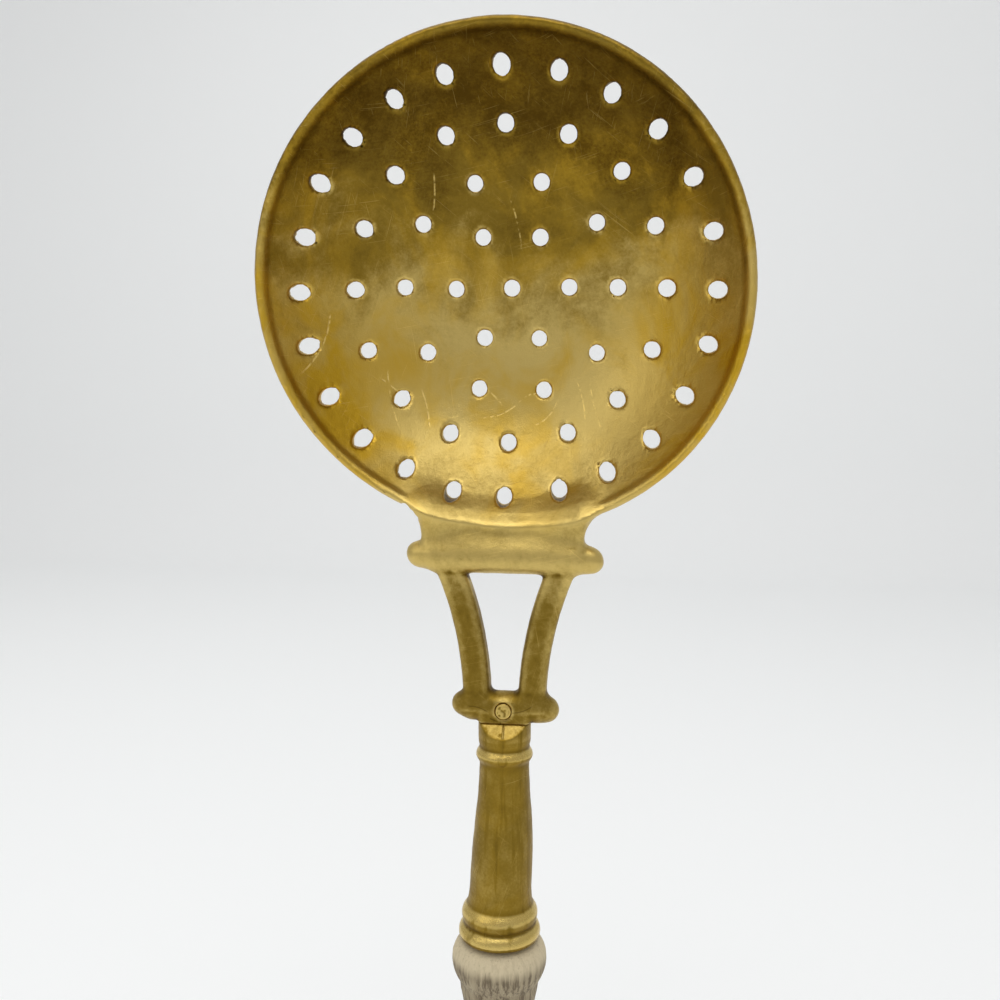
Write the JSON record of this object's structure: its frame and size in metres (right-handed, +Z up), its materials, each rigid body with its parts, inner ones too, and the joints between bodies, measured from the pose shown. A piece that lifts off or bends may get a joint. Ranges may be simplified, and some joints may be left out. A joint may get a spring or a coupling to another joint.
{
  "type": "kitchen skimmer",
  "caption": "Pierced round bowl on a lyre-shaped yoke and turned ferrule, with a wooden grip and a loose hanging ring, for skimming and straining food.",
  "frame": {"origin": "on the handle's axis, in the middle of the grip's straight part", "axes": "+Z up the handle towards the bowl, -Y the way the bowl's hollow side faces, +X to the right seen from there"},
  "size_m": [0.1294, 0.0414, 0.3982],
  "materials": {
    "cast_brass": "satin, tarnished",
    "pin_brass": "hammered, worn",
    "ferrule_brass": "satin, tarnished",
    "bleached_wood": "dry, washed out",
    "steel": "plain",
    "fitting_brass": "satin",
    "ring_brass": "worn bright"
  },
  "bodies": {
    "skimmer": {"bowl_and_yoke": "cast_brass", "yoke_pin": "pin_brass", "ferrule": "ferrule_brass", "grip": "bleached_wood", "tie_rod": "steel", "end_cap": "fitting_brass", "eye_nut": "fitting_brass"},
    "ring": {"hanging_ring": "ring_brass"}
  },
  "joints": [
    {"name": "ring_swing", "type": "hinge", "parent": "skimmer", "child": "ring", "pos_m": [0, 0, -0.07315], "axis": [1, 0, 0], "range_deg": [-145, 145]}
  ]
}
